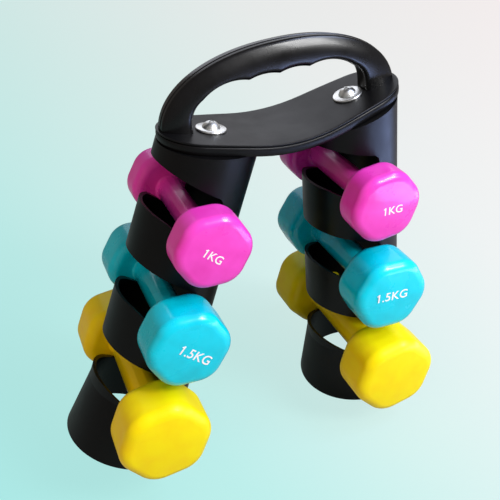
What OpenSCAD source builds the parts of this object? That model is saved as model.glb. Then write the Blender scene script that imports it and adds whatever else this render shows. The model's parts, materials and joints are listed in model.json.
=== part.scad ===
// Carry-handle rack: two notched tube legs under a saddle plate, with three pairs of
// vinyl-coated hex dumbbells lying in the notches. The floor is z = 0.

/* [Saddle plate] */
// Length of the plate, end to end
plate_len = 192; // [184:1:204]
// Width of the plate at its middle
plate_width = 72; // [70:1:74]
// Radius of each rounded end
plate_end_r = 31; // [26:1:33]
// Thickness of the plate
plate_t = 8.4; // [6:0.2:10]
// Rise of each straight wing, in degrees
wing_slope = 13; // [8:1:18]
// Radius of the dip between the wings
dip_r = 140; // [100:5:180]

/* [Carrying handle] */
// Width of the arch outside
arch_w = 189; // [182:1:189]
// Rise of the arch above the plate at the leg screws
arch_h = 55; // [48:1:66]
// Squareness of the arch outline
arch_power = 2.2; // [2:0.1:3]
// Width of the hand opening
opening_w = 139; // [134:1:142]
// Height of the hand opening above the plate at the leg screws
opening_h = 33; // [28:1:36]
// Squareness of the hand opening
opening_power = 3.6; // [2.5:0.1:5]
// Distance from one finger groove to the next
finger_pitch = 23.5; // [20:0.5:26]
// Radius of a finger groove
finger_r = 38; // [30:1:44]
// Depth of a finger groove above the opening
finger_depth = 1.9; // [1.2:0.1:3]
// How far the hand opening stands to the left of the handle's middle
opening_shift = 1.5; // [0:0.5:2]
// Thickness of the front shell
front_t = 10.5; // [9:0.5:13]
// Thickness of the rear shell
rear_t = 6.5; // [5.5:0.5:9]
// Width of the shadow groove between the shells
seam_w = 1; // [0.6:0.1:1.4]
// Wall of the shells
shell_wall = 2.5; // [2:0.25:3]
// How far the rear shell stands inside the front one
rear_inset = 1.2; // [0.6:0.1:2]

/* [Legs] */
// Distance between the two leg screws
screw_pitch = 112; // [108:1:116]
// Height of the legs, from the floor to the plate
leg_h = 267.6; // [262:0.2:288]
// How far both legs stand to the left of their screws
leg_shift = 1.6; // [0:0.2:4]
// Lean of the left leg, in degrees
left_lean = 24; // [20:1:26]
// Radius of a leg at the plate
leg_top_r = 37.5; // [34:0.5:37.5]
// Radius of a leg where the foot begins to flare
leg_low_r = 41.5; // [38:0.5:42]
// Radius of the foot
foot_r = 50.5; // [46:0.5:53]
// Distance from the top of a leg to the flare
flare_at = 218; // [214:1:226]
// Wall of a leg
leg_wall = 3; // [2.5:0.25:4]
// Thickness of the closed top of a leg
cap_t = 4; // [3:0.5:6]

/* [Notches] */
// Distance from the top of a leg to the first seat
seat_1 = 57.5; // [55:0.5:60]
// Distance from the top of a leg to the second seat
seat_2 = 133.5; // [132:0.5:136]
// Distance from the top of a leg to the third seat
seat_3 = 212; // [210:0.5:215]
// Place of the left leg's seats beside its axis, towards the mouths
left_seat_off = 2; // [0:0.5:4]
// Place of the right leg's seats beside its axis, towards the mouths
right_seat_off = 5; // [2:0.5:6]
// Slope of the roof and of the outer floor, in degrees
notch_slope = 14; // [8:1:20]
// Slope of the ramp that a bar rolls down into its seat, in degrees
ramp_slope = 28; // [26:1:30]
// Drop of the outer floor line below a seat's centre, on the leg's axis
floor_drop = 6.3; // [4:0.1:8]
// Clear height of a notch along the leg
notch_h = 36; // [34:1:40]
// Clearance of a bar in its seat
seat_gap = 0.3; // [0.25:0.05:0.5]

/* [Dumbbells] */
// Light head, across flats
light_af = 55.5; // [52:0.5:57]
// Light head, length
light_len = 29; // [24:0.5:31]
// Light bar, diameter
light_bar_d = 21; // [19:0.5:23]
// Light head, radius of the long edges
light_corner_r = 19; // [14:0.5:21]
// Light head, radius around each face
light_edge_r = 7; // [5:0.5:8]
// Middle head, across flats
middle_af = 61; // [56:0.5:62]
// Middle head, length
middle_len = 38.5; // [34:0.5:42]
// Middle bar, diameter
middle_bar_d = 24; // [22:0.5:26]
// Middle head, radius of the long edges
middle_corner_r = 20; // [15:0.5:22]
// Middle head, radius around each face
middle_edge_r = 8; // [5:0.5:9]
// Heavy head, across flats
heavy_af = 69; // [64:0.5:70]
// Heavy head, length
heavy_len = 44; // [38:0.5:48]
// Heavy bar, diameter
heavy_bar_d = 27; // [25:0.5:29]
// Heavy head, radius of the long edges
heavy_corner_r = 22; // [16:0.5:26]
// Heavy head, radius around each face
heavy_edge_r = 9; // [6:0.5:11]
// Clear bar between light or middle heads
grip_len = 83; // [82.6:0.2:90]
// Clear bar between heavy heads
heavy_grip_len = 92; // [88:1:98]
// Thickness of the vinyl
vinyl_t = 1.8; // [1.2:0.1:2.4]

/* [Fasteners] */
// Diameter of a leg screw
screw_d = 8; // [6:0.5:9]
// Length of a leg screw below its washer
screw_len = 26; // [24:1:34]
// Diameter of a screw's domed head
dome_d = 13.5; // [12:0.5:15]
// Height of a screw's domed head
dome_h = 5; // [4:0.25:6]
// Diameter of a washer
washer_d = 23; // [20:0.5:25]
// Thickness of a washer
washer_t = 1.6; // [1.2:0.1:2.4]
// Nut, across flats
nut_af = 13; // [12:0.5:15]
// Height of a nut
nut_h = 6.5; // [5:0.25:8]
// Diameter of the small screws in the handle
tapper_d = 3; // [2.5:0.25:3.5]

/* [Hidden] */
$fn = 96;

far = 400;              // reach of the cutting blocks
free = 0.25;            // radial clearance of a screw in its hole
thread_gap = 0.05;      // radial clearance of a thread in its nut or boss

// Seats of the legs on the underside of the plate
seat_x = screw_pitch / 2 + plate_t * sin(wing_slope);
seat_z = leg_h;
function lean(side) = side < 0 ? left_lean : 0;
function seat_off(side) = side < 0 ? left_seat_off : right_seat_off;
function leg_len(side) = (seat_z - foot_r * sin(lean(side))) / cos(lean(side));
// A point of a leg: x across it, t down its axis
function leg_point(side, x, t) = [
    side * seat_x - leg_shift - t * sin(lean(side)) + x * cos(lean(side)), 0,
    seat_z - t * cos(lean(side)) - x * sin(lean(side))];
left_edge = leg_point(-1, -foot_r, leg_len(-1))[0];
right_edge = leg_point(1, foot_r, leg_len(1))[0];
centre_x = -(left_edge + right_edge) / 2;

// Top surface of the plate: an arc between two straight wings
plate_z = seat_z + plate_t * cos(wing_slope);
dip_half = dip_r * sin(wing_slope);
wing_z = plate_z - (screw_pitch / 2 - dip_half) * tan(wing_slope);
dip_z = wing_z - dip_r * (1 - cos(wing_slope));
plate_side_r = (pow(plate_len / 2, 2) + pow(plate_width / 2, 2) - plate_len * plate_end_r)
    / (plate_width - 2 * plate_end_r);
plate_end_x = plate_len / 2 - plate_end_r;

// Depths of the handle, from its front face at the lowest y
handle_t = front_t + seam_w + rear_t;
front_y = -handle_t / 2;
seam_y = front_y + front_t;
rear_y = seam_y + seam_w;
foot_block_h = 20;      // solid foot of the shells above the plate at the screws
foot_x = (arch_w + opening_w) / 4;
foot_shift = opening_shift / 2;
foot_screw_in = 2;      // the lower shell screws stand this much inside the feet's middle
boss_r = 4.5;
// Places of the screws that join the shells: from the handle's middle and above the plate
shell_screws = [
    [0, (arch_h + opening_h + finger_depth) / 2],
    [-foot_x + 22, arch_h * 0.62], [foot_x - 22, arch_h * 0.62],
    [foot_screw_in - foot_x, 24], [foot_x - foot_screw_in, 24]];
tapper_head_r = tapper_d;
tapper_head_h = 2;
foot_screw_len = 12;

// Sizes of a dumbbell: across flats, head length, grip length, bar diameter, edge radii
light = [light_af, light_len, grip_len, light_bar_d, light_corner_r, light_edge_r];
middle = [middle_af, middle_len, grip_len, middle_bar_d, middle_corner_r, middle_edge_r];
heavy = [heavy_af, heavy_len, heavy_grip_len, heavy_bar_d, heavy_corner_r, heavy_edge_r];
chamfer_out = 1.5;      // reach of a head's chamfers beyond its corners
root_r = 2;             // radius where a bar meets a head
slug_chamfer = 6;       // chamfer around the iron slug
slug_gap = 0.05;        // the vinyl's clearance around the slug
// Turn of each dumbbell about its bar, as it was laid down
light_turn = [4, -5];
middle_turn = [6, 6];
heavy_turn = [-3, -9];

// ---- outlines ----

function arch_points(half_w, rise, power, steps = 72) = [
    for (i = [0:steps])
        let (a = 180 * i / steps, c = cos(a), s = max(0, sin(a)))
        [half_w * sign(c) * pow(abs(c), 2 / power), rise * pow(s, 2 / power)]];

// All that lies above the plate's top surface moved down by d
module above_plate(d) {
    translate([0, dip_z + dip_r]) circle(r = dip_r + d, $fn = 180);
    x = dip_half + d * sin(wing_slope);
    z = wing_z - d * cos(wing_slope);
    z_far = z + (far - x) * tan(wing_slope);
    polygon([[x, z], [far, z_far], [far, 2 * far], [-far, 2 * far], [-far, z_far], [-x, z]]);
}

module plate_outline() {
    tangent_x = plate_end_x * plate_side_r / (plate_side_r - plate_end_r);
    intersection_for (side = [-1, 1])
        intersection() {
            translate([0, side * (plate_side_r - plate_width / 2)])
                circle(r = plate_side_r, $fn = 360);
            square([2 * tangent_x, plate_width], center = true);
        }
    for (side = [-1, 1]) translate([side * plate_end_x, 0]) circle(r = plate_end_r);
}

module hand_opening(grow) {
    half_w = opening_w / 2 + grow;
    translate([-opening_shift, plate_z])
        polygon(concat(arch_points(half_w, opening_h - finger_depth / 2 + grow, opening_power),
            [[-half_w, -far / 4], [half_w, -far / 4]]));
    for (i = [-1.5:1:1.5])
        translate([i * finger_pitch - opening_shift, plate_z + opening_h + finger_depth / 2 - finger_r])
            circle(r = finger_r + grow);
}

// Side view of the handle, drawn in by the given wall
module handle_ring(inset) {
    half_w = arch_w / 2 - inset;
    difference() {
        intersection() {
            translate([0, plate_z])
                polygon(concat(arch_points(half_w, arch_h - inset, arch_power),
                    [[-half_w, -far / 8], [half_w, -far / 8]]));
            above_plate(0);
        }
        hand_opening(inset);
    }
}

// A side view given its depth between two y values
module slab(y0, y1) {
    translate([0, y1, 0]) rotate([90, 0, 0]) linear_extrude(height = y1 - y0) children();
}

module hollow_ring(inset) {
    difference() {
        handle_ring(inset);
        translate([-far, plate_z - far]) square([2 * far, far + foot_block_h]);
        for (p = shell_screws) translate([p[0] - foot_shift, plate_z + p[1]]) circle(r = boss_r);
    }
}

module at_leg_screw(side) {
    translate([side * seat_x, 0, seat_z]) rotate([0, -side * wing_slope, 0]) children();
}

module at_foot_screws() {
    for (side = [-1, 1]) at_leg_screw(side)
        translate([(side * (foot_x - screw_pitch / 2) - foot_shift) / cos(wing_slope), 0, 0])
            for (y = [(front_y + seam_y) / 2, (rear_y + handle_t / 2) / 2])
                translate([0, y, 0]) children();
}

// ---- plate and handle ----

module saddle_plate() {
    color("#141517") translate([centre_x, 0, 0]) difference() {
        intersection() {
            slab(-plate_width, plate_width) difference() {
                above_plate(plate_t);
                above_plate(0);
            }
            linear_extrude(height = far) plate_outline();
        }
        for (side = [-1, 1]) at_leg_screw(side)
            translate([0, 0, -plate_t]) cylinder(r = screw_d / 2 + free, h = 3 * plate_t);
        at_foot_screws() {
            translate([0, 0, -1]) cylinder(r = tapper_d / 2 + free, h = 2 * plate_t);
            translate([0, 0, -1]) cylinder(r = tapper_head_r + free, h = tapper_head_h + 1.5);
        }
    }
}

module handle_front_shell() {
    color("#101113") translate([centre_x, 0, 0]) difference() {
        slab(front_y, seam_y) handle_ring(0);
        slab(front_y + shell_wall, seam_y + 1) hollow_ring(shell_wall);
        for (p = shell_screws)
            translate([p[0] - foot_shift, seam_y + 1, plate_z + p[1]]) rotate([90, 0, 0])
                cylinder(r = tapper_d / 2 + thread_gap, h = front_t - shell_wall + 1);
        at_foot_screws()
            translate([0, 0, plate_t - 1]) cylinder(r = tapper_d / 2 + thread_gap, h = foot_screw_len);
    }
}

module handle_rear_shell() {
    color("#0e0f11") translate([centre_x, 0, 0]) difference() {
        union() {
            slab(rear_y, handle_t / 2) handle_ring(rear_inset);
            // Spigot that closes the shadow groove and locates the shell
            slab(seam_y, rear_y) handle_ring(rear_inset + shell_wall);
        }
        slab(seam_y - 1, handle_t / 2 - shell_wall) hollow_ring(rear_inset + 2 * shell_wall);
        for (p = shell_screws) translate([p[0] - foot_shift, 0, plate_z + p[1]]) rotate([-90, 0, 0]) {
            cylinder(r = tapper_d / 2 + free, h = handle_t);
            translate([0, 0, handle_t / 2 - tapper_head_h])
                cylinder(r = tapper_head_r + free, h = tapper_head_h + 1);
        }
        at_foot_screws()
            translate([0, 0, plate_t - 1]) cylinder(r = tapper_d / 2 + thread_gap, h = foot_screw_len);
    }
}

// Pan-head tapping screw, head at the origin, pointing along +Z
module tapper(len) {
    cylinder(r = tapper_d / 2, h = len);
    difference() {
        cylinder(r = tapper_head_r, h = tapper_head_h);
        for (a = [0, 90]) rotate([0, 0, a]) translate([-tapper_head_r * 0.6, -0.4, -1])
            cube([tapper_head_r * 1.2, 0.8, 1 + tapper_head_h / 2]);
    }
}

module handle_shell_screws() {
    color("#8d9196") translate([centre_x, 0, 0])
        for (p = shell_screws)
            translate([p[0] - foot_shift, handle_t / 2, plate_z + p[1]]) rotate([90, 0, 0])
                tapper(handle_t - shell_wall - 1);
}

module handle_foot_screws() {
    color("#8d9196") translate([centre_x, 0, 0])
        at_foot_screws() translate([0, 0, 0.5]) tapper(foot_screw_len + plate_t - 2.5);
}

// ---- legs ----

module leg_solid(len, wall) {
    rotate_extrude() polygon([
        [0, plate_t * 3], [leg_top_r - wall, plate_t * 3], [leg_top_r - wall, 0],
        [leg_low_r - wall, -flare_at], [foot_r - wall, -len], [0, -len]]);
}

function arc(x, z, r, a0, a1, n) = [for (i = [0:n])
    let (a = a0 + (a1 - a0) * i / n) [x + r * cos(a), z + r * sin(a)]];

// Side view of one notch about its seat, mouth towards -x
module notch(bar_d, seat_off) {
    seat_r = bar_d / 2 + seat_gap;
    mouth = -2 * foot_r;
    rise = tan(notch_slope);
    ramp = tan(ramp_slope);
    low = [-seat_off - seat_r * sin(ramp_slope), -seat_r * cos(ramp_slope)];
    // Where the ramp meets the outer floor
    lip_x = (low[1] + floor_drop + low[0] * ramp) / (ramp - rise);
    roof = notch_h - floor_drop;
    roof_r = seat_r * 0.6;
    roof_x = seat_r - seat_off - roof_r;
    roof_z = roof - rise * roof_x - roof_r / cos(notch_slope);
    polygon(concat(
        [[mouth, -floor_drop - rise * mouth], [lip_x, -floor_drop - rise * lip_x]],
        arc(-seat_off, 0, seat_r, -90 - ramp_slope, 0, 18),
        arc(roof_x, roof_z, roof_r, 0, 90 - notch_slope, 8),
        [[mouth, roof - rise * mouth]]));
}

module at_leg(side) {
    translate(leg_point(side, 0, 0)) rotate([0, lean(side), 0]) children();
}

module leg(side) {
    len = leg_len(side);
    color("#17181a") translate([centre_x, 0, 0]) difference() {
        at_leg(side) leg_solid(len, 0);
        difference() {
            at_leg(side) leg_solid(len + 1, leg_wall);
            at_leg_screw(side) translate([-far / 2, -far / 2, -cap_t]) cube(far);
        }
        at_leg_screw(side) {
            translate([-far / 2, -far / 2, 0]) cube(far);
            translate([0, 0, -2 * cap_t]) cylinder(r = screw_d / 2 + free, h = 3 * cap_t);
        }
        at_leg(side) for (s = [[seat_1, light], [seat_2, middle], [seat_3, heavy]])
            translate([0, 0, -s[0]]) slab(-far / 4, far / 4) notch(s[1][3], seat_off(side));
    }
}
module left_leg() { leg(-1); }
module right_leg() { leg(1); }

// ---- leg fasteners ----

module leg_screw(side) {
    color("#d8dadc") translate([centre_x, 0, 0]) at_leg_screw(side)
        translate([0, 0, plate_t + washer_t]) {
            translate([0, 0, -screw_len]) cylinder(r = screw_d / 2, h = screw_len);
            rotate_extrude() intersection() {
                dome_r = (pow(dome_d / 2, 2) + pow(dome_h, 2)) / (2 * dome_h);
                translate([0, dome_h - dome_r]) circle(r = dome_r);
                square([dome_d, dome_h]);
            }
        }
}

module leg_washer(side) {
    color("#cfd2d4") translate([centre_x, 0, 0]) at_leg_screw(side)
        translate([0, 0, plate_t]) difference() {
            cylinder(r = washer_d / 2, h = washer_t);
            translate([0, 0, -1]) cylinder(r = screw_d / 2 + thread_gap, h = washer_t + 2);
        }
}

module leg_nut(side) {
    color("#b9bdc0") translate([centre_x, 0, 0]) at_leg_screw(side)
        translate([0, 0, -cap_t - nut_h]) difference() {
            cylinder(r = nut_af / 2 / cos(30), h = nut_h, $fn = 6);
            translate([0, 0, -1]) cylinder(r = screw_d / 2 + thread_gap, h = nut_h + 2);
        }
}
module left_screw() { leg_screw(-1); }
module right_screw() { leg_screw(1); }
module left_washer() { leg_washer(-1); }
module right_washer() { leg_washer(1); }
module left_nut() { leg_nut(-1); }
module right_nut() { leg_nut(1); }

// ---- dumbbells ----

module rounded_hexagon(af, r) {
    flat = af / 2;
    core = flat - r;
    corner = core / cos(30);
    for (a = [0:60:300]) rotate(a) {
        translate([corner, 0]) circle(r = r);
        rotate(30) translate([0, -corner / 2]) square([flat, corner]);
    }
}

// One head along +Z from z0, each face rounded by about e with two chamfers
module head(af, len, z0, r, e) {
    reach = (af / 2 - r) / cos(30) + r;
    face_r = reach - e * (1 - tan(15));
    knee = e * (1 - sin(45) / cos(15));
    side_z = knee + (knee + chamfer_out) * tan(60);
    translate([0, 0, z0]) intersection() {
        linear_extrude(height = len) rounded_hexagon(af, r);
        rotate_extrude() polygon([
            [0, 0], [face_r, 0], [reach - knee, knee], [reach + chamfer_out, side_z],
            [reach + chamfer_out, len - side_z], [reach - knee, len - knee], [face_r, len], [0, len]]);
    }
}

// A dumbbell's outside, along Y
module dumbbell(size) {
    grip = size[2];
    bar_r = size[3] / 2;
    rotate([90, 0, 0]) {
        for (m = [0, 1]) mirror([0, 0, m]) head(size[0], size[1], grip / 2, size[4], size[5]);
        cylinder(r = bar_r, h = grip + size[1], center = true);
        for (m = [0, 1]) mirror([0, 0, m]) translate([0, 0, grip / 2 - root_r])
            rotate_extrude() difference() {
                square([bar_r + root_r, root_r + 1]);
                translate([bar_r + root_r, 0]) circle(r = root_r);
            }
    }
}

// The turned slug inside it, grown by the given gap
module slug(size, gap) {
    head_r = size[0] / 2 - vinyl_t + gap;
    bar_r = size[3] / 2 - vinyl_t + gap;
    inner = size[2] / 2 + vinyl_t - gap;
    outer = size[2] / 2 + size[1] - vinyl_t + gap;
    half = [
        [bar_r, inner], [head_r - slug_chamfer, inner], [head_r, inner + slug_chamfer],
        [head_r, outer - slug_chamfer], [head_r - slug_chamfer, outer], [0, outer]];
    rotate([90, 0, 0]) rotate_extrude() polygon(concat(
        [for (i = [5:-1:0]) [half[i][0], -half[i][1]]], half));
}

module at_seat(side, t, turn) {
    translate([centre_x, 0, 0]) translate(leg_point(side, -seat_off(side), t))
        rotate([0, turn[(side + 1) / 2], 0]) children();
}

module coat(size) {
    difference() {
        dumbbell(size);
        slug(size, slug_gap);
    }
}

module light_coat(side) { color("#ee30c4") at_seat(side, seat_1, light_turn) coat(light); }
module middle_coat(side) { color("#17c0d8") at_seat(side, seat_2, middle_turn) coat(middle); }
module heavy_coat(side) { color("#f7e408") at_seat(side, seat_3, heavy_turn) coat(heavy); }
module light_core(side) { color("#4a4b4d") at_seat(side, seat_1, light_turn) slug(light, 0); }
module middle_core(side) { color("#4a4b4d") at_seat(side, seat_2, middle_turn) slug(middle, 0); }
module heavy_core(side) { color("#4a4b4d") at_seat(side, seat_3, heavy_turn) slug(heavy, 0); }

saddle_plate();
handle_front_shell();
handle_rear_shell();
handle_shell_screws();
handle_foot_screws();
left_leg();
right_leg();
left_screw();
right_screw();
left_washer();
right_washer();
left_nut();
right_nut();
light_coat(-1);  // light_left_coat
light_core(-1);  // light_left_core
middle_coat(-1);  // middle_left_coat
middle_core(-1);  // middle_left_core
heavy_coat(-1);  // heavy_left_coat
heavy_core(-1);  // heavy_left_core
light_coat(1);  // light_right_coat
light_core(1);  // light_right_core
middle_coat(1);  // middle_right_coat
middle_core(1);  // middle_right_core
heavy_coat(1);  // heavy_right_coat
heavy_core(1);  // heavy_right_core
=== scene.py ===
# Carry-handle dumbbell rack: the moulded handle and plate, the notched tubes and
# six dipped dumbbells.
import json
import math
import bpy
from mathutils import Matrix, Vector

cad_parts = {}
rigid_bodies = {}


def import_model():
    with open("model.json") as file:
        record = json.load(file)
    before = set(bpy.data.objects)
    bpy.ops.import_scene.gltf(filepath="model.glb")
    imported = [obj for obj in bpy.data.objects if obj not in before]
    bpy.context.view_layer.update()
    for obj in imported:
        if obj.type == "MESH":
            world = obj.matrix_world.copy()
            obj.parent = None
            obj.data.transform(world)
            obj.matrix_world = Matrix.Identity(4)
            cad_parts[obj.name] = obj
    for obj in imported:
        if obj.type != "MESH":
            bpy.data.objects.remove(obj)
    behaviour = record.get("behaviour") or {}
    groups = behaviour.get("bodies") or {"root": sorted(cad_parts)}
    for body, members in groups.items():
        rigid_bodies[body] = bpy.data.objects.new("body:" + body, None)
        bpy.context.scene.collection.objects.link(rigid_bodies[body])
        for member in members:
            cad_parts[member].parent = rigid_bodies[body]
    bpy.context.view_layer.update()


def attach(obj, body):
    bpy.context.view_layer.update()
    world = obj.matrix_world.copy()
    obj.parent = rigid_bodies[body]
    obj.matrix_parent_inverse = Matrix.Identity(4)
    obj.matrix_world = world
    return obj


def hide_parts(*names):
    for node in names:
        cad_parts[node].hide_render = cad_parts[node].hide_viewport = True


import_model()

MM = 0.001

# ---- sizes shared with the frame, in millimetres ----
PLATE_X = 54.42            # middle of the plate, across the rack
LEG_SHIFT = 1.6            # how far both legs stand to the left of their screws
LEG_H = 267.6              # floor to the underside of the plate at the screws
PLATE_T = 8.4
WING = math.radians(13)    # slope of the plate's two ends
SCREW_X = 56.0             # leg screws at the top face, each side of the plate's middle
DIP_R = 140.0              # radius of the hollow between the two slopes
SEAT_X = SCREW_X + PLATE_T * math.sin(WING)                # leg screws at the underside
PLATE_Z = LEG_H + PLATE_T * math.cos(WING)                 # top face at the screws
DIP_HALF = DIP_R * math.sin(WING)                          # half the hollow's width
WING_Z = PLATE_Z - (SCREW_X - DIP_HALF) * math.tan(WING)   # top face where the hollow ends
DIP_Z = WING_Z - DIP_R * (1 - math.cos(WING))              # bottom of the hollow
LEAN = {"left": math.radians(24), "right": 0.0}            # of the legs, away from the middle
SIDE = {"left": -1, "right": 1}
SEAT_OFF = {"left": 2.0, "right": 5.0}   # how far the bars lie to the left of their leg's axis
OPENING_SHIFT = 1.5        # how far the hand opening stands to the left of the handle's middle


def plate_top(x):
    """Height of the plate's top face at x from its middle."""
    x = abs(x)
    if x < DIP_HALF:
        return DIP_Z + DIP_R - math.sqrt(DIP_R * DIP_R - x * x)
    return WING_Z + (x - DIP_HALF) * math.tan(WING)


def plate_tilt(x):
    """Angle of the top face at x, rising away from the middle."""
    if abs(x) < DIP_HALF:
        return math.asin(x / DIP_R)
    return math.copysign(WING, x)


# ---- colours and nodes ----
def srgb(text):
    """An sRGB hex colour as linear red, green, blue and alpha."""
    parts = [int(text[i:i + 2], 16) / 255 for i in (1, 3, 5)]
    line = [c / 12.92 if c <= 0.04045 else ((c + 0.055) / 1.055) ** 2.4 for c in parts]
    return (*line, 1.0)


def wire(tree, made, **links):
    """Set a node's inputs by name, or by number as i0, i1 and so on. A pair of a node and a
    socket name is a link, and anything else is a value."""
    for key, value in links.items():
        numbered = key[0] == "i" and key[1:].isdigit()
        socket = made.inputs[int(key[1:]) if numbered else key.replace("_", " ")]
        if isinstance(value, tuple) and len(value) == 2 and hasattr(value[0], "outputs"):
            tree.links.new(value[0].outputs[value[1]], socket)
        else:
            socket.default_value = value


def node(tree, kind, settings=None, stops=(), **links):
    """Add a node with its properties, the stops of its ramp as (position, sRGB hex colour), and
    its inputs."""
    made = tree.nodes.new(kind)
    for key, value in (settings or {}).items():
        setattr(made, key, value)
    while stops and len(made.color_ramp.elements) < len(stops):
        made.color_ramp.elements.new(0.5)
    if stops:
        for element, (at, colour) in zip(made.color_ramp.elements, stops):
            element.position = at
            element.color = srgb(colour)
    wire(tree, made, **links)
    return made


def start(name):
    """A new material with its shader and the object's own coordinates."""
    mat = bpy.data.materials.new(name)
    mat.use_nodes = True
    tree = mat.node_tree
    shader = tree.nodes["Principled BSDF"]
    coords = node(tree, "ShaderNodeTexCoord")
    return mat, tree, shader, (coords, "Object")


def grains(size_mm):
    """Scale of a pattern whose grains are this many millimetres across."""
    return 1000.0 / size_mm


# The middle range of a noise pattern, where nearly all of it lies
MIDDLE = {"From_Min": 0.3, "From_Max": 0.7}


def dipped_vinyl(name, main, deep, rough, shine, gloss):
    """Plasticised PVC skin of a dipped weight: a thick, even, wet-looking coat whose surface
    is faintly wavy, with softer patches where hands and the packing have rubbed it."""
    mat, tree, shader, coords = start(name)
    # flow waves of the dip
    wave = node(tree, "ShaderNodeTexNoise", Vector=coords, Scale=grains(14.3), Detail=2.0,
                Roughness=0.45)
    # fine orange peel, coarser than the real one so that it shows
    peel = node(tree, "ShaderNodeTexNoise", Vector=coords, Scale=grains(1.613), Detail=2.0,
                Roughness=0.5)
    # rubbed patches
    rub = node(tree, "ShaderNodeTexNoise", Vector=coords, Scale=grains(29.4), Detail=4.0,
               Roughness=0.6)
    tint = node(tree, "ShaderNodeValToRGB", stops=[(0.25, deep), (0.62, main)],
                Fac=(wave, "Fac"))
    sheen = node(tree, "ShaderNodeMapRange", Value=(rub, "Fac"), To_Min=rough - 0.05,
                 To_Max=rough + 0.09, **MIDDLE)
    swell = node(tree, "ShaderNodeBump", Height=(wave, "Fac"), Strength=0.35, Distance=0.6 * MM)
    skin = node(tree, "ShaderNodeBump", Height=(peel, "Fac"), Strength=0.22,
                Distance=0.08 * MM, Normal=(swell, "Normal"))
    wire(tree, shader, Base_Color=(tint, "Color"), Roughness=(sheen, "Result"),
         Normal=(skin, "Normal"), IOR=1.53, Specular_IOR_Level=shine, Coat_Weight=gloss,
         Coat_Roughness=0.08)
    return mat


def moulded_black(name, main, lift, rough, grain_mm, grain_depth, shine, gloss=0.0):
    """Black injection-moulded or extruded plastic: deep black with a grey sheen, a fine
    mould grain and faint scuffs where it is handled."""
    mat, tree, shader, coords = start(name)
    grain = node(tree, "ShaderNodeTexNoise", Vector=coords, Scale=grains(grain_mm), Detail=3.0,
                 Roughness=0.6)
    scuff = node(tree, "ShaderNodeTexNoise", Vector=coords, Scale=grains(35.7), Detail=6.0,
                 Roughness=0.65)
    tint = node(tree, "ShaderNodeValToRGB", stops=[(0.35, main), (0.75, lift)],
                Fac=(scuff, "Fac"))
    sheen = node(tree, "ShaderNodeMapRange", Value=(scuff, "Fac"), To_Min=rough - 0.05,
                 To_Max=rough + 0.10, **MIDDLE)
    skin = node(tree, "ShaderNodeBump", Height=(grain, "Fac"), Strength=0.3,
                Distance=grain_depth * MM)
    wire(tree, shader, Base_Color=(tint, "Color"), Roughness=(sheen, "Result"),
         Normal=(skin, "Normal"), IOR=1.5, Specular_IOR_Level=shine, Coat_Weight=gloss,
         Coat_Roughness=0.12)
    return mat


def zinc_plate(name, main, shade, rough):
    """Bright zinc on steel: pale, slightly bluish, with the crystal mottle of the bath."""
    mat, tree, shader, coords = start(name)
    crystals = node(tree, "ShaderNodeTexVoronoi", Vector=coords, Scale=grains(1.111))
    mottle = node(tree, "ShaderNodeTexNoise", Vector=coords, Scale=grains(3.846), Detail=4.0)
    tint = node(tree, "ShaderNodeValToRGB", stops=[(0.3, shade), (0.7, main)],
                Fac=(mottle, "Fac"))
    sheen = node(tree, "ShaderNodeMapRange", Value=(mottle, "Fac"), To_Min=rough - 0.05,
                 To_Max=rough + 0.1, **MIDDLE)
    skin = node(tree, "ShaderNodeBump", Height=(crystals, "Distance"), Strength=0.15,
                Distance=0.05 * MM)
    wire(tree, shader, Base_Color=(tint, "Color"), Roughness=(sheen, "Result"),
         Normal=(skin, "Normal"), Metallic=1.0)
    return mat


def cast_iron(name):
    """Grey cast iron, dull and sandy, sealed inside the vinyl."""
    mat, tree, shader, coords = start(name)
    sand = node(tree, "ShaderNodeTexNoise", Vector=coords, Scale=grains(1.111), Detail=5.0,
                Roughness=0.7)
    tint = node(tree, "ShaderNodeValToRGB", stops=[(0.3, "#38383a"), (0.75, "#5b5b5d")],
                Fac=(sand, "Fac"))
    skin = node(tree, "ShaderNodeBump", Height=(sand, "Fac"), Strength=0.5, Distance=0.3 * MM)
    wire(tree, shader, Base_Color=(tint, "Color"), Normal=(skin, "Normal"), Metallic=0.6,
         Roughness=0.75)
    return mat


def pad_print(name):
    """White pad-printed ink: flat, opaque and thin enough to show tiny pinholes."""
    mat, tree, shader, coords = start(name)
    speck = node(tree, "ShaderNodeTexNoise", Vector=coords, Scale=grains(0.6667), Detail=2.0)
    tint = node(tree, "ShaderNodeValToRGB", stops=[(0.22, "#d9d4dc"), (0.4, "#fbfafb")],
                Fac=(speck, "Fac"))
    wire(tree, shader, Base_Color=(tint, "Color"), Roughness=0.5)
    return mat


# name, colour, colour in the hollows, roughness, shine, weight of the glossy coat
PINK = dipped_vinyl("Dipped vinyl, pink gloss", "#f447cb", "#ec3bbe", 0.30, 0.36, 0.22)
CYAN = dipped_vinyl("Dipped vinyl, cyan gloss", "#00d8f0", "#00cae2", 0.24, 0.35, 0.25)
YELLOW = dipped_vinyl("Dipped vinyl, yellow satin", "#ffec00", "#fde200", 0.38, 0.22, 0.04)
# name, colour, colour of the scuffs, roughness, grain and its depth in mm, shine, coat
HANDLE = moulded_black("Moulded ABS, black gloss", "#070708", "#0c0c0e", 0.26, 0.9, 0.008,
                       0.3, 0.12)
PLATE = moulded_black("Moulded ABS, black satin", "#0a0a0b", "#101012", 0.34, 0.8, 0.012, 0.20)
TUBE = moulded_black("Extruded polypropylene, black satin", "#060607", "#0a0a0b", 0.36, 1.0,
                     0.012, 0.22)
ZINC = zinc_plate("Zinc-plated steel, bright", "#fbfbf9", "#e8eaea", 0.34)
ZINC_DULL = zinc_plate("Zinc-plated steel, dull", "#b9bcbe", "#94989b", 0.36)
IRON = cast_iron("Grey cast iron, as cast")
INK = pad_print("Pad-print ink, white")


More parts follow.
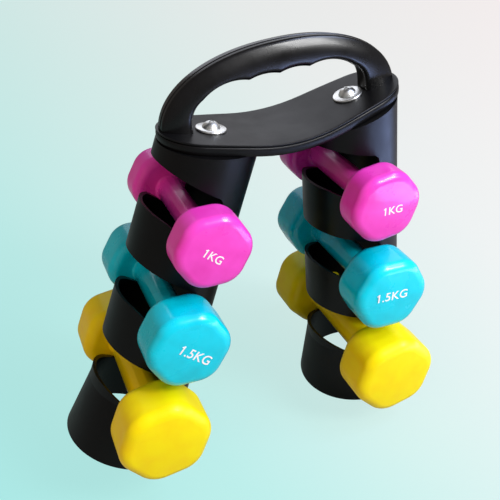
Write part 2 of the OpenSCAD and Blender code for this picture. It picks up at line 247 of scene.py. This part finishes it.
# ---- modelling helpers ----
def clear():
    """Leave edit mode and deselect everything."""
    if bpy.context.object and bpy.context.object.mode != "OBJECT":
        bpy.ops.object.mode_set(mode="OBJECT")
    bpy.ops.object.select_all(action="DESELECT")


def named(name):
    """The object just added, with this name on it and on its mesh."""
    obj = bpy.context.object
    obj.name = name
    obj.data.name = name
    return obj


def only(obj):
    """Select this object alone and make it active."""
    clear()
    obj.select_set(True)
    bpy.context.view_layer.objects.active = obj


def finish(obj, mat):
    """Give an object this material alone."""
    obj.data.materials.clear()
    obj.data.materials.append(mat)


def settle(obj, mat, angle):
    """Bake the place into the mesh, smooth it below the angle in degrees and finish it."""
    only(obj)
    bpy.ops.object.transform_apply(location=True, rotation=True, scale=True)
    bpy.ops.object.shade_smooth_by_angle(angle=math.radians(angle))
    finish(obj, mat)
    return obj


def outward(obj):
    """Turn all faces of a closed mesh outward."""
    only(obj)
    bpy.ops.object.mode_set(mode="EDIT")
    bpy.ops.mesh.select_all(action="SELECT")
    bpy.ops.mesh.normals_make_consistent(inside=False)
    bpy.ops.object.mode_set(mode="OBJECT")


def apply_all(obj):
    """Apply the object's modifiers."""
    only(obj)
    for modifier in list(obj.modifiers):
        bpy.ops.object.modifier_apply(modifier=modifier.name)


def cut(obj, tool):
    """Cut the tool's shape out of the object and delete the tool."""
    made = obj.modifiers.new("join", "BOOLEAN")
    made.operation = "DIFFERENCE"
    made.solver = "EXACT"
    made.object = tool
    apply_all(obj)
    bpy.data.objects.remove(tool, do_unlink=True)


def place(obj, matrix):
    """Move a finished mesh to its place in the frame."""
    obj.data.transform(matrix)
    obj.data.update()


def twins(obj):
    """The piece just modelled, and after it a copy with its own mesh. The copy has the form
    that the first one has now, before it is placed."""
    mesh = obj.data.copy()
    yield obj
    other = bpy.data.objects.new(mesh.name, mesh)
    obj.users_collection[0].objects.link(other)
    yield other


def loft(name, rows, caps=True):
    """A tube through rows of points: a grid is added, each vertex is put in its place,
    the seam is merged and the ends are filled. Each row is a closed section."""
    across = len(rows[0])
    clear()
    bpy.ops.mesh.primitive_grid_add(x_subdivisions=across, y_subdivisions=len(rows) - 1, size=1)
    obj = named(name)
    verts = obj.data.vertices
    for j, row in enumerate(rows):
        for i in range(across + 1):
            verts[j * (across + 1) + i].co = Vector(row[i % across]) * MM
    bpy.ops.object.mode_set(mode="EDIT")
    bpy.ops.mesh.select_all(action="SELECT")
    bpy.ops.mesh.remove_doubles(threshold=1e-7)
    if caps:
        bpy.ops.mesh.select_all(action="SELECT")
        bpy.ops.mesh.fill_holes(sides=0)
    bpy.ops.object.mode_set(mode="OBJECT")
    outward(obj)
    return obj


# ---- carrying handle ----
# Half width, height and roundness of the outer arch and of the hand opening
ARCH_W, ARCH_H, ARCH_POWER = 94.5, 55.0, 2.2
OPEN_W, OPEN_H, OPEN_POWER = 69.5, 33.0, 3.6
FINGER_PITCH, FINGER_R, FINGER_DEPTH = 23.5, 38.0, 1.9
GROOVES = (-1.5, -0.5, 0.5, 1.5)    # places of the finger grooves, in pitches
FRONT_Y, SEAM_Y, REAR_Y, BACK_Y = -9.0, 1.5, 2.5, 9.0   # front face, seam groove, rear face
REAR_INSET = 1.2           # the rear shell stands back from the front one by this
STATIONS = 150             # sections along the arch
ARCH_STEPS = 2400          # points of the path that the sections are spaced on


def evenly(points, count):
    """The same path with count + 1 points at equal steps along it."""
    run = [0.0]
    for a, b in zip(points, points[1:]):
        run.append(run[-1] + math.dist(a, b))
    out, k = [], 0
    for i in range(count + 1):
        want = run[-1] * i / count
        while k < len(run) - 2 and run[k + 1] < want:
            k += 1
        t = (want - run[k]) / max(run[k + 1] - run[k], 1e-9)
        out.append([points[k][j] + t * (points[k + 1][j] - points[k][j]) for j in (0, 1)])
    return out


def arch(half_w, rise, power, grow=None):
    """Path over the arch from foot to foot: (x, z) from the plate's middle. With grow given it
    is the finger side, drawn outward by grow."""
    path = []
    top = PLATE_Z + OPEN_H + FINGER_DEPTH / 2 - FINGER_R
    for i in range(ARCH_STEPS + 1):
        a = math.pi * i / ARCH_STEPS
        c, s = math.cos(a), math.sin(a)
        x = half_w * math.copysign(abs(c) ** (2 / power), c)
        z = PLATE_Z + rise * abs(s) ** (2 / power)
        if grow is not None:
            for k in GROOVES:
                d = x - k * FINGER_PITCH
                if abs(d) < FINGER_PITCH:
                    z = max(z, top + math.sqrt((FINGER_R + grow) ** 2 - d * d))
        path.append((x if grow is None else x - OPENING_SHIFT, z))
    clearance = 0.02
    above = [p for p in path if p[1] > plate_top(p[0]) + clearance]
    first, last = above[0], above[-1]
    lead = (first[0], plate_top(first[0]))
    tail = (last[0], plate_top(last[0]))
    return [lead] + above + [tail]


def ring(name, section, inset):
    """Loft a section along the arch. A section point is (edge, distance, y): edge 0 measures
    from the finger side, edge 1 from the outside."""
    outer = evenly(arch(ARCH_W - inset, ARCH_H - inset, ARCH_POWER), STATIONS)
    inner = evenly(arch(OPEN_W + inset, OPEN_H - FINGER_DEPTH / 2 + inset, OPEN_POWER, inset),
                   STATIONS)
    rows = []
    for (ox, oz), (ix, iz) in zip(outer, inner):
        width = math.dist((ox, oz), (ix, iz))
        ux, uz = (ox - ix) / width, (oz - iz) / width
        row = []
        for edge, d, y in section:
            at = d if edge == 0 else width - d
            row.append((PLATE_X + ix + ux * at, y, iz + uz * at))
        rows.append(row)
    # each foot stands on the plate
    for row in (rows[0], rows[-1]):
        for k, (x, y, _) in enumerate(row):
            row[k] = (x, y, plate_top(x - PLATE_X))
    return loft(name, rows)


def corner(edge, r_d, r_y, y, towards, steps):
    """Rounded corner of a section: from the side wall to the face at y."""
    out = []
    for i in range(steps + 1):
        a = math.pi / 2 * i / steps
        out.append((edge, r_d * (1 - math.sin(a)), y + towards * r_y * (1 - math.cos(a))))
    return out


def front_shell():
    """Front half: its face rolls away towards the outside, down to a bead at the seam."""
    bead = 0.5                     # low rim beside the shadow groove
    width, drop, steps = 15.0, 4.6, 8
    face_out = [(1, width * (1 - k / steps), FRONT_Y + drop * (k / steps) ** 2)
                for k in range(steps)]
    # the small rounding where the rolled face meets the side
    face_out += [(1, 0.9, FRONT_Y + 4.15), (1, 0.25, FRONT_Y + 4.9), (1, 0.0, FRONT_Y + 5.8)]
    face_in = corner(0, 4.0, 3.0, FRONT_Y, 1, 8)
    section = [(0, 0.0, SEAM_Y - 0.5), (0, 0.0, SEAM_Y - 3.0)]
    section += [(0, d, y) for _, d, y in reversed(face_in)]
    section += [(edge, d + bead, y) for edge, d, y in face_out]
    section += [(1, bead, SEAM_Y - 1.7), (1, 0.0, SEAM_Y - 1.3), (1, 0.0, SEAM_Y - 0.4),
                (1, bead, SEAM_Y), (0, 0.5, SEAM_Y)]
    obj = ring("handle_front_shell_moulding", section, 0.0)
    return settle(obj, HANDLE, 32)


def rear_shell():
    """Rear half, plain and rounded, with the step that leaves the shadow groove."""
    round_r, step, groove = 1.6, 0.5, 2.5
    back_face = corner(0, round_r, round_r, BACK_Y, -1, 5)
    section = [(0, groove, SEAM_Y), (0, groove, REAR_Y), (0, step, REAR_Y),
               (0, 0.0, REAR_Y + step)]
    section += [(0, d, y) for _, d, y in reversed(back_face)]
    section += [(1, d, y) for _, d, y in back_face]
    section += [(1, 0.0, REAR_Y + step), (1, step, REAR_Y), (1, groove, REAR_Y),
                (1, groove, SEAM_Y)]
    obj = ring("handle_rear_shell_moulding", section, REAR_INSET)
    return settle(obj, HANDLE, 32)


front = front_shell()
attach(front, "rack")
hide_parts("handle_front_shell")
rear = rear_shell()
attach(rear, "rack")
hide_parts("handle_rear_shell")


# ---- saddle plate ----
# Half length, half width and radius of the rounded ends
PLATE_HALF, PLATE_W, PLATE_END = 96.0, 36.0, 31.0


def plate_edge(t, inset):
    """Point of the plate's outline at t from 0 to 1, from the right end round the back."""
    side_r = ((PLATE_HALF ** 2 + PLATE_W ** 2 - 2 * PLATE_HALF * PLATE_END)
              / (2 * (PLATE_W - PLATE_END)))
    end_x = PLATE_HALF - PLATE_END
    a = 2 * math.pi * t
    dx, dy = math.cos(a), math.sin(a)
    # the point where the rounded outline faces the direction (dx, dy)
    limit = math.atan2(side_r - PLATE_W, end_x)
    bend = math.atan2(abs(dy), abs(dx))
    sx, sy = (1 if dx >= 0 else -1), (1 if dy >= 0 else -1)
    if bend < limit:
        x = end_x + (PLATE_END - inset) * math.cos(bend)
        y = (PLATE_END - inset) * math.sin(bend)
    else:
        x = (side_r - inset) * math.cos(bend)
        y = (side_r - inset) * math.sin(bend) - (side_r - PLATE_W)
    return sx * x, sy * y


def plate_rim():
    """Side of the plate from the top face to the underside: (inset, depth)."""
    flat_in, lip, groove = 3.0, 1.0, 2.0
    # top face, and the rounded edge of the thin lip
    rim = [(flat_in, 0.0), (1.0, 0.0)]
    rim += [(0.9 - 0.5 * math.sin(a), 0.5 - 0.5 * math.cos(a)) for a in (0.4, 0.8, 1.2, 1.57)]
    # the groove under the lip
    rim += [(0.4, lip), (1.5, lip + 0.15), (1.5, groove - 0.1)]
    # the rounded side below it
    bulge, steps = 0.8, 8
    for i in range(steps + 1):
        a = math.pi * i / steps
        rim.append((bulge * (1 - math.sin(a)),
                    groove + (PLATE_T - groove) * (1 - math.cos(a)) / 2))
    rim += [(1.4, PLATE_T), (flat_in, PLATE_T)]
    return rim


def between(a, b, strips):
    """Points from a to b, two rim points at the same x and depth, without the ends."""
    return [(a[0], a[1] + (b[1] - a[1]) * k / strips, a[2]) for k in range(1, strips)]


def saddle_plate():
    """The plate as sections from its right end to its left, bent to the saddle."""
    rim, strips, sections, rows = plate_rim(), 8, 180, []
    for i in range(sections + 1):
        t = 0.5 * i / sections
        behind = [(*plate_edge(t, inset), depth) for inset, depth in rim]
        before = [(x, -y, depth) for x, y, depth in behind]
        # up the front rim, over the top, down the rear rim and back underneath
        row = [*reversed(before), *between(before[0], behind[0], strips),
               *behind, *between(behind[-1], before[-1], strips)]
        rows.append([(PLATE_X + x, y, plate_top(x) - depth / math.cos(plate_tilt(x)))
                     for x, y, depth in row])
    obj = loft("saddle_plate_moulding", rows, caps=False)
    return settle(obj, PLATE, 35)


plate = saddle_plate()
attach(plate, "rack")
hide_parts("saddle_plate")


# ---- leg screws and washers ----
WASHER_R, WASHER_T, SCREW_R, SCREW_LEN = 11.5, 1.6, 4.0, 26.0
DOME_R, DOME_H = 6.75, 5.0
RECESS_L, RECESS_W, RECESS_H = 5.6, 1.1, 4.4   # box of one arm, centred on the dome's top
RECESS_TURN = 0.5          # how far the cross is turned, in radians
AXIS_R = 0.01              # where a profile ends beside its axis


def circle(r, z, count):
    """A level circle of points."""
    return [(r * math.cos(2 * math.pi * k / count), r * math.sin(2 * math.pi * k / count), z)
            for k in range(count)]


def screw_place(side):
    """Top face of the plate at a leg screw, square to the sloping plate."""
    tilt = -side * WING
    return (Matrix.Translation(Vector((PLATE_X + side * SEAT_X, 0, LEG_H)) * MM)
            @ Matrix.Rotation(tilt, 4, "Y") @ Matrix.Translation(Vector((0, 0, PLATE_T)) * MM))


def leg_screw():
    """Domed screw with a cross recess: a turned body and two slots cut into it."""
    ball = (DOME_R ** 2 + DOME_H ** 2) / (2 * DOME_H)
    tip, low_edge, steps = 0.8, 0.5, 12
    profile = [(AXIS_R, -SCREW_LEN), (SCREW_R - tip, -SCREW_LEN), (SCREW_R, -SCREW_LEN + tip),
               (SCREW_R, 0.0), (DOME_R - 0.15, 0.0), (DOME_R - 0.05, 0.12),
               (DOME_R - 0.05, low_edge)]
    for i in range(1, steps + 1):
        r = (DOME_R - 0.1) * (1 - i / steps)
        profile.append((max(r, AXIS_R), DOME_H - ball + math.sqrt(ball * ball - r * r)))
    obj = loft("screw", [circle(r, z + WASHER_T, 64) for r, z in profile])
    for turn in (RECESS_TURN, RECESS_TURN + math.pi / 2):
        clear()
        bpy.ops.mesh.primitive_cube_add(size=1, location=(0, 0, (WASHER_T + DOME_H) * MM),
                                        rotation=(0, 0, turn),
                                        scale=(RECESS_L * MM, RECESS_W * MM, RECESS_H * MM))
        slot = named("recess")
        bpy.ops.object.transform_apply(location=True, rotation=True, scale=True)
        cut(obj, slot)
    return obj


def washer():
    """Pressed washer: a small rounding below, a wider one above."""
    hole_r, low, high, t = SCREW_R + 0.05, 0.35, 0.7, WASHER_T
    section = [(hole_r, 0), (WASHER_R - low, 0), (WASHER_R - 0.1, 0.1), (WASHER_R, low),
               (WASHER_R, t - high), (WASHER_R - 0.2, t - 0.25), (WASHER_R - high, t),
               (hole_r, t)]
    count, rows = 96, []
    for k in range(count):
        a = 2 * math.pi * k / count
        rows.append([(r * math.cos(a), r * math.sin(a), z) for r, z in section])
    return loft("washer", rows + [rows[0]], caps=False)


for (hand, side), screw, ring_piece in zip(SIDE.items(), twins(leg_screw()), twins(washer())):
    place(screw, screw_place(side))
    settle(screw, ZINC, 40)
    screw.name = hand + "_screw_domed"
    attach(screw, "rack")
    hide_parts(hand + "_screw")
    place(ring_piece, screw_place(side))
    settle(ring_piece, ZINC, 40)
    ring_piece.name = hand + "_washer_pressed"
    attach(ring_piece, "rack")
    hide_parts(hand + "_washer")


# ---- dumbbells ----
GRIP = {"light": 83.0, "middle": 83.0, "heavy": 92.0}     # clear length between the heads
FLATS = {"light": 55.5, "middle": 61.0, "heavy": 69.0}    # head, across its flats
HEAD = {"light": 29.0, "middle": 38.5, "heavy": 44.0}     # length of one head
BAR = {"light": 21.0, "middle": 24.0, "heavy": 27.0}      # diameter of the bar
CORNER = {"light": 19.0, "middle": 20.0, "heavy": 22.0}   # rounding of a head's long edges
SOFT = {"light": 7.5, "middle": 8.5, "heavy": 10.0}       # rounding around its faces
SEAT = {"light": 57.5, "middle": 133.5, "heavy": 212.0}   # down the leg from the screw
TURN = {"light": {"left": 4, "right": -5}, "middle": {"left": 6, "right": 6},
        "heavy": {"left": -3, "right": -9}}               # about the bar, in degrees
ROOT = 2.0                 # fillet where the bar enters a head
SWELL = 1.2                # how far the middle of an end face stands proud
EDGE_STEPS = 10            # points round each long edge of a head
CURVE_STEPS = 12           # rows round each rounding of its faces
VINYL = {"light": PINK, "middle": CYAN, "heavy": YELLOW}
MARK = {"light": "1KG", "middle": "1.5KG"}


def hexagon(flats, corner_r, inset):
    """Outline of a rounded hexagon drawn in by inset; a corner points along +X."""
    core = (flats / 2 - corner_r) / math.cos(math.radians(30))
    points = []
    for k in range(6):
        mid = math.radians(60 * k)
        for j in range(EDGE_STEPS + 1):
            a = mid + math.radians(-30 + 60 * j / EDGE_STEPS)
            r = corner_r - inset
            points.append((core * math.cos(mid) + r * math.cos(a),
                           core * math.sin(mid) + r * math.sin(a)))
    return points


def dumbbell(size):
    """One skin from end to end along Y: head, bar and head. The end faces swell a little."""
    flats, corner_r, soft, bar = FLATS[size], CORNER[size], SOFT[size], BAR[size] / 2
    inner, outer = GRIP[size] / 2, GRIP[size] / 2 + HEAD[size]
    angles = [math.atan2(z, x) for x, z in hexagon(flats, corner_r, 0)]
    quarter = [math.pi / 2 * i / CURVE_STEPS for i in range(CURVE_STEPS + 1)]

    def hex_row(inset, y, part=1):
        return [(x * part, y, z * part) for x, z in hexagon(flats, corner_r, inset)]

    def round_row(r, y):
        return [(r * math.cos(a), y, r * math.sin(a)) for a in angles]

    # end face from near its middle, its rounding, the flats, and the rounding behind them
    half = [hex_row(soft, outer - SWELL * part ** 2.5, part)
            for part in (0.03, 0.15, 0.3, 0.45, 0.6, 0.75, 0.9)]
    half += [hex_row(soft * (1 - math.sin(a)),
                     outer - SWELL - (soft - SWELL) * (1 - math.cos(a))) for a in quarter]
    half += [hex_row(0, outer - soft + (inner - outer + 2 * soft) * part)
             for part in (0.06, 0.5, 0.94)]
    half += [hex_row(soft * (1 - math.cos(a)), inner + soft * (1 - math.sin(a)))
             for a in quarter]
    # inner face, the fillet at the bar's root, and the bar to the middle
    half.append(round_row((bar + ROOT) * 0.35 + (flats / 2 - soft) * 0.65, inner))
    for i in range(7):
        a = math.pi / 2 * i / 6
        half.append(round_row(bar + ROOT * (1 - math.sin(a)), inner - ROOT * (1 - math.cos(a))))
    half += [round_row(bar, inner - ROOT - (inner - ROOT) * k / 5) for k in range(1, 6)]
    rows = half + [[(x, -y, z) for x, y, z in row] for row in reversed(half[:-1])]
    return loft(size + "_dumbbell", rows)


def even_shading(obj):
    """Weight the normals by face area, so that the flats stay flat beside their roundings."""
    made = obj.modifiers.new("even", "WEIGHTED_NORMAL")
    made.keep_sharp = False
    made.weight = 50
    apply_all(obj)


def axis_place(size, hand):
    """Middle of a dumbbell's bar in its notch, turned about the bar."""
    side, lean, t, x = SIDE[hand], LEAN[hand], SEAT[size], -SEAT_OFF[hand]
    spot = Vector((PLATE_X + side * SEAT_X - LEG_SHIFT - t * math.sin(lean) + x * math.cos(lean),
                   0, LEG_H - t * math.cos(lean) - x * math.sin(lean)))
    return (Matrix.Translation(spot * MM)
            @ Matrix.Rotation(math.radians(TURN[size][hand]), 4, "Y"))


# ---- weight marks ----
CAP_SHARE = 0.70           # height of a capital, as a share of the letter size
INK_T, INK_GROW = 0.06, 0.10   # half the ink's thickness, and how much it fattens the strokes
INK_LIFT = 0.03            # the ink's middle stands this far in front of the face
LETTER_GAP = 1.03          # letter spacing, where 1 is the usual one
# Flag of the figure one, in letter heights: its place from the top left, its length and width
FLAG_X, FLAG_Z, FLAG_L, FLAG_W = -0.02, -0.155, 0.30, 0.13
FLAG_T, FLAG_SLOPE = 0.11, 40   # thickness in mm, slope in degrees

# Places on the front faces: from the bar's middle (x, z), slope in degrees, letter height
WORDS = {"left_light": ((-2.8, -0.1), -44.5, 6.3), "left_middle": ((2.0, -1.4), -45.0, 7.6),
         "right_light": ((2.7, -0.8), -3.3, 6.3), "right_middle": ((-2.4, 3.5), -6.9, 7.6)}


def mark(text, height, at, angle, y, name):
    """Raised print on the front face: the middle of the words, their slope and height."""
    clear()
    bpy.ops.object.text_add()
    words = bpy.context.object
    words.data.body = text
    words.data.align_x, words.data.align_y = "CENTER", "CENTER"
    words.data.size = height * MM / CAP_SHARE
    words.data.extrude = INK_T * MM
    words.data.offset = INK_GROW * MM
    words.data.space_character = LETTER_GAP
    words.data.resolution_u = 6
    bpy.ops.object.convert(target="MESH")
    obj = named(name)
    # the slanted flag of the figure one, which the letter shape lacks
    left, top = min(v.co.x for v in obj.data.vertices), max(v.co.y for v in obj.data.vertices)
    bpy.ops.object.mode_set(mode="EDIT")
    bpy.ops.mesh.primitive_cube_add(
        size=1, location=(left + FLAG_X * height * MM, top + FLAG_Z * height * MM, 0),
        rotation=(0, 0, math.radians(FLAG_SLOPE)),
        scale=(FLAG_L * height * MM, FLAG_W * height * MM, FLAG_T * MM))
    bpy.ops.object.mode_set(mode="OBJECT")
    obj.data.transform(Matrix.Translation(Vector((at[0], y - INK_LIFT, at[1])) * MM)
                       @ Matrix.Rotation(math.radians(-angle), 4, "Y")
                       @ Matrix.Rotation(math.radians(90), 4, "X"))
    only(obj)
    bpy.ops.object.mode_set(mode="EDIT")
    bpy.ops.mesh.select_all(action="SELECT")
    bpy.ops.mesh.remove_doubles(threshold=1e-6)
    bpy.ops.mesh.normals_make_consistent(inside=False)
    bpy.ops.object.mode_set(mode="OBJECT")
    finish(obj, INK)
    return obj


for size in ("light", "middle", "heavy"):
    for hand, obj in zip(("left", "right"), twins(dumbbell(size))):
        body = size + "_" + hand + "_dumbbell"
        place(obj, axis_place(size, hand))
        even_shading(obj)
        obj.name = size + "_" + hand + "_vinyl_coat"
        obj.data.materials.append(VINYL[size])
        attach(obj, body)
        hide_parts(size + "_" + hand + "_coat")
        if size in MARK:
            (dx, dz), slope, tall = WORDS[hand + "_" + size]
            seat = axis_place(size, hand).translation / MM
            at = (seat.x + dx, seat.z + dz)
            face = -(GRIP[size] / 2 + HEAD[size])
            words = mark(MARK[size], tall, at, slope, face, size + "_" + hand + "_weight_mark")
            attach(words, body)


# ---- finishes of the plain solids ----
def finish_node(name, mat):
    """Give a CAD solid its finish."""
    for obj in bpy.data.objects:
        if obj.type == "MESH" and obj.name == name:
            finish(obj, mat)


for name in ("left_leg", "right_leg"):
    finish_node(name, TUBE)
for name in ("left_nut", "right_nut", "handle_shell_screws", "handle_foot_screws"):
    finish_node(name, ZINC_DULL)
for size in ("light", "middle", "heavy"):
    for hand in ("left", "right"):
        finish_node(size + "_" + hand + "_core", IRON)


# ---- camera axes ----
AZIMUTH, ELEVATION, ROLL = math.radians(-18.91), math.radians(33.32), math.radians(-6.29)
SENSOR, LENS = 36.0, 50.96
AIM, DISTANCE = Vector((18.1, 0, 163.9)), 579.5     # point looked at, and how far away
BACK = Vector((math.sin(AZIMUTH) * math.cos(ELEVATION),
               -math.cos(AZIMUTH) * math.cos(ELEVATION), math.sin(ELEVATION)))
LEVEL = Vector((math.cos(AZIMUTH), math.sin(AZIMUTH), 0))
RIGHT = LEVEL * math.cos(ROLL) + BACK.cross(LEVEL) * math.sin(ROLL)
TOP = BACK.cross(RIGHT)
EYE = AIM * MM + BACK * DISTANCE * MM


# ---- floor and background ----
FLOOR_SIZE, FLOOR_DROP = 9, 0.0004   # metres, and just below the feet
FLOOR_GLOW, GLOW_SHARE = 1.03, 0.86  # strength of its own light, and its share of the floor
FLOOR_GLOSS = 0.25                   # how much of the seen floor a reflection shows
NEAREST = 0.05                       # least distance ahead of the camera, in metres


def floor_finish():
    """Smooth painted studio floor whose colour runs across the view, from pale aqua at the
    lower left to warm white at the upper right."""
    mat, tree, shader, coords = start("Studio floor, pale matt paint")
    # place along the view's diagonal: 0 at its lower left, 1 at its upper right
    slant = node(tree, "ShaderNodeVectorMath", {"operation": "DOT_PRODUCT"}, i0=coords,
                 i1=RIGHT + TOP)
    across = node(tree, "ShaderNodeMath", {"operation": "SUBTRACT"}, i0=(slant, "Value"),
                  i1=(RIGHT + TOP).dot(EYE))
    depth = node(tree, "ShaderNodeVectorMath", {"operation": "DOT_PRODUCT"}, i0=coords,
                 i1=-BACK)
    ahead = node(tree, "ShaderNodeMath", {"operation": "ADD"}, i0=(depth, "Value"),
                 i1=BACK.dot(EYE))
    ahead = node(tree, "ShaderNodeMath", {"operation": "MAXIMUM"}, i0=(ahead, "Value"),
                 i1=NEAREST)
    ratio = node(tree, "ShaderNodeMath", {"operation": "DIVIDE"}, i0=(across, "Value"),
                 i1=(ahead, "Value"))
    along = node(tree, "ShaderNodeMath", {"operation": "MULTIPLY_ADD"}, i0=(ratio, "Value"),
                 i1=LENS / SENSOR / 2, i2=0.5)
    tint = node(tree, "ShaderNodeValToRGB", Fac=(along, "Value"),
                stops=[(0.0, "#aceae7"), (0.26, "#bcede9"), (0.5, "#d6efec"),
                       (0.74, "#edf1f0"), (1.0, "#f9f3f3")])
    dust = node(tree, "ShaderNodeTexNoise", Vector=coords, Scale=grains(25), Detail=3.0)
    sheen = node(tree, "ShaderNodeMapRange", Value=(dust, "Fac"), To_Min=0.55, To_Max=0.65,
                 **MIDDLE)
    wire(tree, shader, Base_Color=(tint, "Color"), Roughness=(sheen, "Result"),
         Specular_IOR_Level=0.2)
    glow = node(tree, "ShaderNodeEmission", Color=(tint, "Color"), Strength=FLOOR_GLOW)
    painted = node(tree, "ShaderNodeMixShader", Fac=GLOW_SHARE, i1=(shader, "BSDF"),
                   i2=(glow, "Emission"))
    # the object itself is lit by a plain grey floor, so that no aqua creeps into its shadows
    plain = node(tree, "ShaderNodeBsdfDiffuse", Color=srgb("#a8a4a0"))
    rays = node(tree, "ShaderNodeLightPath")
    gloss = node(tree, "ShaderNodeMath", {"operation": "MULTIPLY"},
                 i0=(rays, "Is Glossy Ray"), i1=FLOOR_GLOSS)
    seen = node(tree, "ShaderNodeMath", {"operation": "MAXIMUM"},
                i0=(rays, "Is Camera Ray"), i1=(gloss, "Value"))
    mix = node(tree, "ShaderNodeMixShader", Fac=(seen, "Value"), i1=(plain, "BSDF"),
               i2=(painted, "Shader"))
    wire(tree, tree.nodes["Material Output"], Surface=(mix, "Shader"))
    return mat


clear()
bpy.ops.mesh.primitive_plane_add(size=FLOOR_SIZE, location=(0, 0, -FLOOR_DROP))
floor = named("studio_floor")
bpy.ops.object.transform_apply(location=True, rotation=True, scale=True)
floor.data.materials.append(floor_finish())

world = bpy.data.worlds.new("studio")
bpy.context.scene.world = world
world.use_nodes = True
air = world.node_tree
room = air.nodes["Background"]
wire(air, room, Color=srgb("#fff6ee"), Strength=0.26)
# the camera itself sees a pale backdrop behind the floor
backdrop = node(air, "ShaderNodeBackground", Color=srgb("#f1f3f2"), Strength=1.0)
rays = node(air, "ShaderNodeLightPath")
either = node(air, "ShaderNodeMixShader", Fac=(rays, "Is Camera Ray"), i1=(room, "Background"),
              i2=(backdrop, "Background"))
wire(air, air.nodes["World Output"], Surface=(either, "Shader"))


# ---- light and camera ----
def soft_light(name, spot, aim, power, size_x, size_y, colour="#ffffff"):
    """Rectangular softbox at spot, turned to aim: places and sizes in metres, power in watts."""
    data = bpy.data.lights.new(name, "AREA")
    data.energy, data.shape = power, "RECTANGLE"
    data.size, data.size_y = size_x, size_y
    data.color = srgb(colour)[:3]
    lamp = bpy.data.objects.new(name, data)
    bpy.context.scene.collection.objects.link(lamp)
    lamp.location = spot
    lamp.rotation_euler = (Vector(aim) - Vector(spot)).to_track_quat("-Z", "Y").to_euler()
    return lamp


MID = (0.02, 0, 0.17)      # middle of the rack
soft_light("key_softbox", (0.70, -0.92, 0.92), MID, 17.0, 0.34, 0.5)
soft_light("top_softbox", (0.62, -0.36, 0.95), (0.05, 0, 0.3), 5.0, 0.35, 0.3, "#cfdcff")
fill = soft_light("left_fill", (-1.1, -0.5, 0.6), MID, 4.0, 0.8, 0.9, "#ffc8b0")
fill.visible_glossy = False
# two boxes that only show as reflections: behind the plate, and beside the right tube
back = soft_light("back_panel", (0.42, 0.95, 0.85), (0, 0, 0.28), 3.6, 1.2, 0.75, "#eef3ff")
back.visible_diffuse = False
strip = soft_light("right_strip", (0.45, -0.28, 0.06), (0.12, -0.05, 0.25), 2.2, 0.6, 0.11,
                   "#aac2ff")
strip.visible_diffuse = False


def camera():
    """Camera above and to the left, tipped a little, with a short portrait lens."""
    data = bpy.data.cameras.new("camera")
    data.sensor_width, data.lens = SENSOR, LENS
    data.clip_start, data.clip_end = 0.01, 50
    cam = bpy.data.objects.new("camera", data)
    bpy.context.scene.collection.objects.link(cam)
    cam.matrix_world = (Matrix.Translation(EYE)
                        @ Matrix((RIGHT, TOP, BACK)).transposed().to_4x4())
    bpy.context.scene.camera = cam


camera()
bpy.context.scene.view_settings.view_transform = "Standard"
